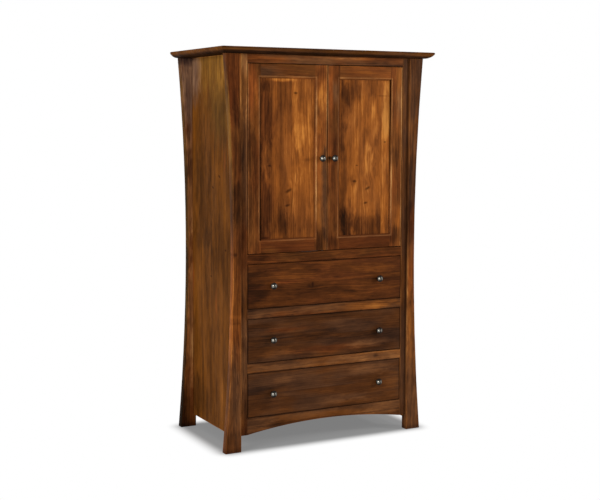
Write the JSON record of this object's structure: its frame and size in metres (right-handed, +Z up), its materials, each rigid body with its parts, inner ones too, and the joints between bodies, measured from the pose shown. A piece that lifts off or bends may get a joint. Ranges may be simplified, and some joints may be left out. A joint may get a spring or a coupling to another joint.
{
  "type": "tv armoire",
  "caption": "Tall wooden cabinet on flared posts: panelled double doors over a stack of flush drawers, moulded top and arched apron, for a television and storage.",
  "frame": {"origin": "on the floor under the middle of the box that holds the armoire", "axes": "+X to the right along the front, +Y from front to back, +Z up"},
  "size_m": [1.122, 0.622, 1.85],
  "materials": {
    "stained_wood": "dark brown stain, satin lacquer",
    "door_panel_wood": "brown stain over knotty grain, satin lacquer",
    "side_panel_wood": "brown stain, satin lacquer",
    "drawer_front_wood": "dark brown stain, satin lacquer",
    "unfinished_wood": "bare sanded wood",
    "plywood": "bare plywood",
    "knob_metal": "dark antique metal, satin",
    "hinge_metal": "dark bronzed steel",
    "steel": "zinc plated",
    "catch_plastic": "brown moulded plastic"
  },
  "bodies": {
    "cabinet": {"arched_apron": "stained_wood", "back_panel": "plywood", "bottom_board": "stained_wood", "compartment_floor": "stained_wood", "component_shelf": "stained_wood", "drawer_runners": "unfinished_wood", "face_frame_door_rail": "stained_wood", "face_frame_lower_drawer_rail": "stained_wood", "face_frame_top_rail": "stained_wood", "face_frame_upper_drawer_rail": "stained_wood", "left_back_post": "stained_wood", "left_face_frame_stile": "stained_wood", "left_front_post": "stained_wood", "left_side_panel": "side_panel_wood", "magnetic_catches": "catch_plastic", "pivot_case_leaves": "hinge_metal", "right_back_post": "stained_wood", "right_face_frame_stile": "stained_wood", "right_front_post": "stained_wood", "right_side_panel": "side_panel_wood", "shelf_pins": "steel", "slab_screws": "steel", "support_cleats": "unfinished_wood", "top_slab": "stained_wood"},
    "left_door": {"left_door_bottom_rail": "stained_wood", "left_door_hinge_stile": "stained_wood", "left_door_knob": "knob_metal", "left_door_knob_screw": "steel", "left_door_meeting_stile": "stained_wood", "left_door_panel": "door_panel_wood", "left_door_pivot_leaves": "hinge_metal", "left_door_strike_plate": "steel", "left_door_top_rail": "stained_wood"},
    "right_door": {"right_door_bottom_rail": "stained_wood", "right_door_hinge_stile": "stained_wood", "right_door_knob": "knob_metal", "right_door_knob_screw": "steel", "right_door_meeting_stile": "stained_wood", "right_door_panel": "door_panel_wood", "right_door_pivot_leaves": "hinge_metal", "right_door_strike_plate": "steel", "right_door_top_rail": "stained_wood"},
    "upper_drawer": {"upper_drawer_back": "unfinished_wood", "upper_drawer_bottom": "plywood", "upper_drawer_front": "drawer_front_wood", "upper_drawer_knob_screws": "steel", "upper_drawer_knobs": "knob_metal", "upper_drawer_sides": "unfinished_wood"},
    "middle_drawer": {"middle_drawer_back": "unfinished_wood", "middle_drawer_bottom": "plywood", "middle_drawer_front": "drawer_front_wood", "middle_drawer_knob_screws": "steel", "middle_drawer_knobs": "knob_metal", "middle_drawer_sides": "unfinished_wood"},
    "lower_drawer": {"lower_drawer_back": "unfinished_wood", "lower_drawer_bottom": "plywood", "lower_drawer_front": "drawer_front_wood", "lower_drawer_knob_screws": "steel", "lower_drawer_knobs": "knob_metal", "lower_drawer_sides": "unfinished_wood"}
  },
  "joints": [
    {"name": "left_door_hinge", "type": "hinge", "parent": "cabinet", "child": "left_door", "pos_m": [-0.396, -0.249, 1.346], "axis": [0, 0, -1], "range_deg": [0, 110]},
    {"name": "right_door_hinge", "type": "hinge", "parent": "cabinet", "child": "right_door", "pos_m": [0.396, -0.249, 1.346], "axis": [0, 0, 1], "range_deg": [0, 110]},
    {"name": "upper_drawer_slide", "type": "slide", "parent": "cabinet", "child": "upper_drawer", "axis": [0, -1, 0], "range_m": [0, 0.36]},
    {"name": "middle_drawer_slide", "type": "slide", "parent": "cabinet", "child": "middle_drawer", "axis": [0, -1, 0], "range_m": [0, 0.36]},
    {"name": "lower_drawer_slide", "type": "slide", "parent": "cabinet", "child": "lower_drawer", "axis": [0, -1, 0], "range_m": [0, 0.36]}
  ]
}
